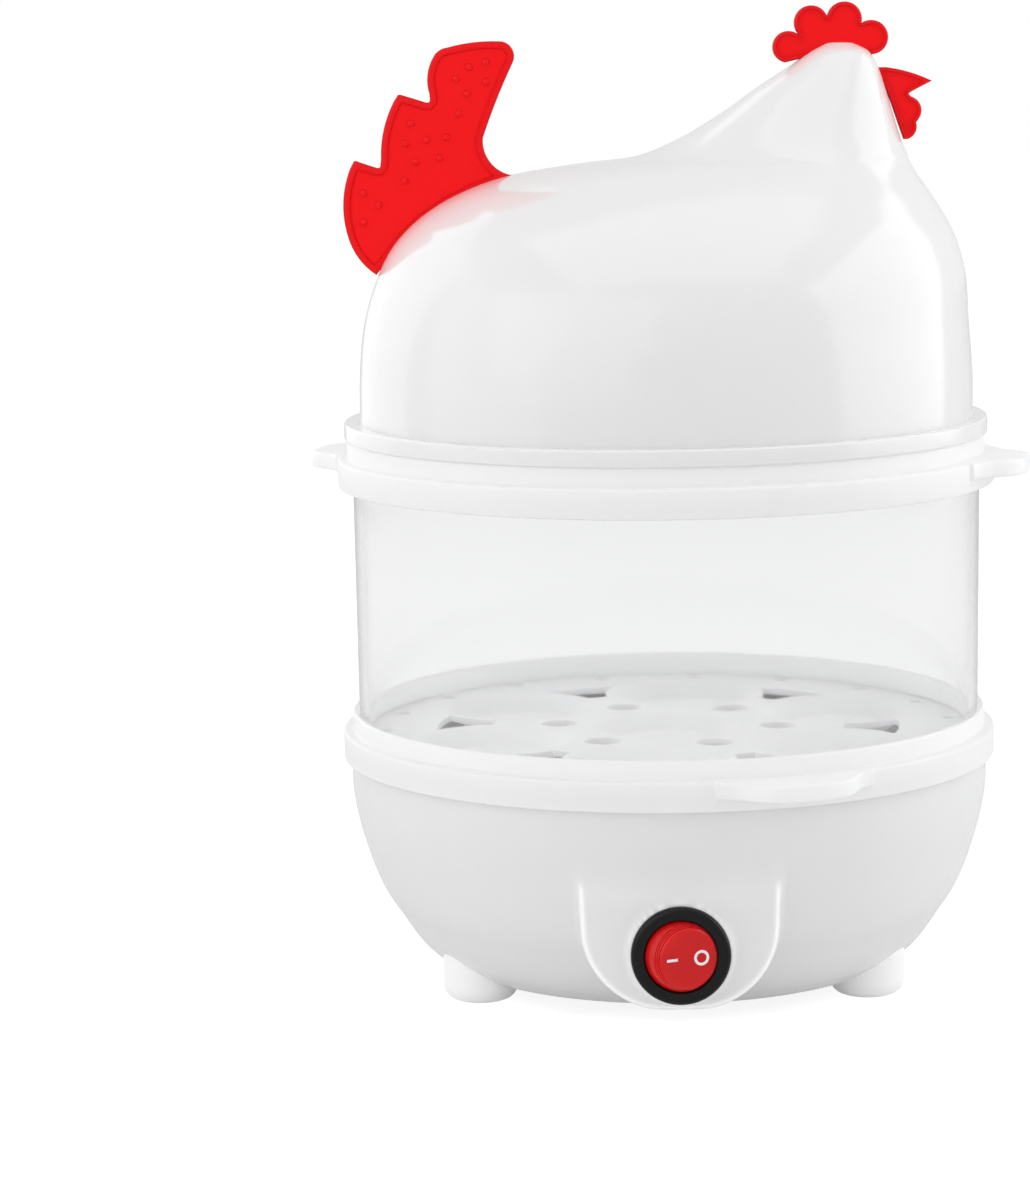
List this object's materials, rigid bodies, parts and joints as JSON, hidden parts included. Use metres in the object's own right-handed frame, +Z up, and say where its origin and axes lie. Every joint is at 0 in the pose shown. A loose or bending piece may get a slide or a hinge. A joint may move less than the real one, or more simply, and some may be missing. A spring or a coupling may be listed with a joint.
{
  "type": "egg cooker",
  "caption": "Electric egg cooker: round base with switch and water dish, stacked egg trays with a clear tier between them and a hen-shaped lid.",
  "frame": {"origin": "centre line of the base at the level of the feet's undersides", "axes": "+Z up, the switch looks towards -Y, the hen's head towards +X"},
  "size_m": [0.1746, 0.1706, 0.2374],
  "materials": {
    "white_gloss": "glossy moulded polypropylene",
    "foot_pad": "matt soft pad",
    "cover_plastic": "fine moulded grain",
    "screw_steel": "zinc plated",
    "dish_steel": "pressed, satin",
    "seal_silicone": "matt",
    "element_sheath": "drawn tube, heat tinted",
    "bead_ceramic": "unglazed",
    "cast_aluminium": "die cast",
    "thermostat_moulding": "phenolic moulding",
    "contact_brass": "stamped",
    "switch_black": "polished moulding",
    "rocker_red": "clear-tinted moulding",
    "mark_white": "printed",
    "plunger_moulding": "plain",
    "lamp_glass": "clear",
    "resistor_body": "lacquered",
    "splice_cap": "crimped cap",
    "wire_brown": "silicone insulation",
    "wire_blue": "silicone insulation",
    "fuse_metal": "drawn can",
    "fuse_sleeving": "woven glass sleeving",
    "grommet_rubber": "matt",
    "tray_frosted": "frosted, translucent",
    "tier_clear": "clear moulding",
    "trim_red": "glossy moulding"
  },
  "bodies": {
    "base": {"base_housing": "white_gloss", "foot_1": "foot_pad", "foot_2": "foot_pad", "foot_3": "foot_pad", "bottom_cover": "cover_plastic", "cover_screws": "screw_steel", "heating_plate": "dish_steel", "plate_seal": "seal_silicone", "weld_nuts": "screw_steel", "plate_screws": "screw_steel", "heater_element": "element_sheath", "element_beads": "bead_ceramic", "element_pins": "element_sheath", "heat_spreader": "cast_aluminium", "thermostat": "thermostat_moulding", "thermostat_blades": "contact_brass", "thermostat_bracket": "dish_steel", "thermostat_screws": "screw_steel", "switch_body": "switch_black", "lamp_terminal": "contact_brass", "supply_terminal": "contact_brass", "load_terminal": "contact_brass", "neon_lamp": "lamp_glass", "lamp_resistor": "resistor_body", "switch_receptacles": "contact_brass", "thermostat_receptacles": "contact_brass", "element_receptacles": "contact_brass", "wire_splices": "splice_cap", "supply_wire": "wire_brown", "load_wire": "wire_brown", "lamp_wire": "wire_blue", "neutral_wire": "wire_blue", "fuse_lead_in": "wire_brown", "fuse_lead_out": "wire_brown", "thermal_fuse": "fuse_metal", "fuse_sleeve": "fuse_sleeving", "cord_grommet": "grommet_rubber", "cord_clamp": "cover_plastic", "clamp_screws": "screw_steel"},
    "rocker": {"rocker": "rocker_red", "rocker_marks": "mark_white", "rocker_plunger": "plunger_moulding", "plunger_spring": "screw_steel"},
    "contact_bridge": {"contact_bridge": "contact_brass"},
    "lower_tray": {"lower_tray": "tray_frosted"},
    "tier_ring": {"tier_ring": "tier_clear"},
    "upper_tray": {"upper_tray": "tray_frosted"},
    "lid": {"lid_shell": "white_gloss", "tail": "trim_red", "comb": "trim_red", "beak": "trim_red"}
  },
  "joints": [
    {"name": "rocker_turn", "type": "hinge", "parent": "base", "child": "rocker", "pos_m": [0, -0.0769, 0.0221], "axis": [0, 0, -1], "range_deg": [0, 40]},
    {"name": "contact_see_saw", "type": "hinge", "parent": "base", "child": "contact_bridge", "pos_m": [0, -0.06975, 0.0221], "axis": [0, 0, 1], "range_deg": [0, 10]},
    {"name": "lower_tray_lift", "type": "slide", "parent": "base", "child": "lower_tray", "axis": [0, 0, 1], "range_m": [0, 0.1]},
    {"name": "tier_lift", "type": "slide", "parent": "lower_tray", "child": "tier_ring", "axis": [0, 0, 1], "range_m": [0, 0.1]},
    {"name": "upper_tray_lift", "type": "slide", "parent": "tier_ring", "child": "upper_tray", "axis": [0, 0, 1], "range_m": [0, 0.1]},
    {"name": "lid_lift", "type": "slide", "parent": "upper_tray", "child": "lid", "axis": [0, 0, 1], "range_m": [0, 0.15]}
  ],
  "couplings": [
    {"joint": "contact_see_saw", "follows": "rocker_turn", "ratio": 0.25}
  ]
}
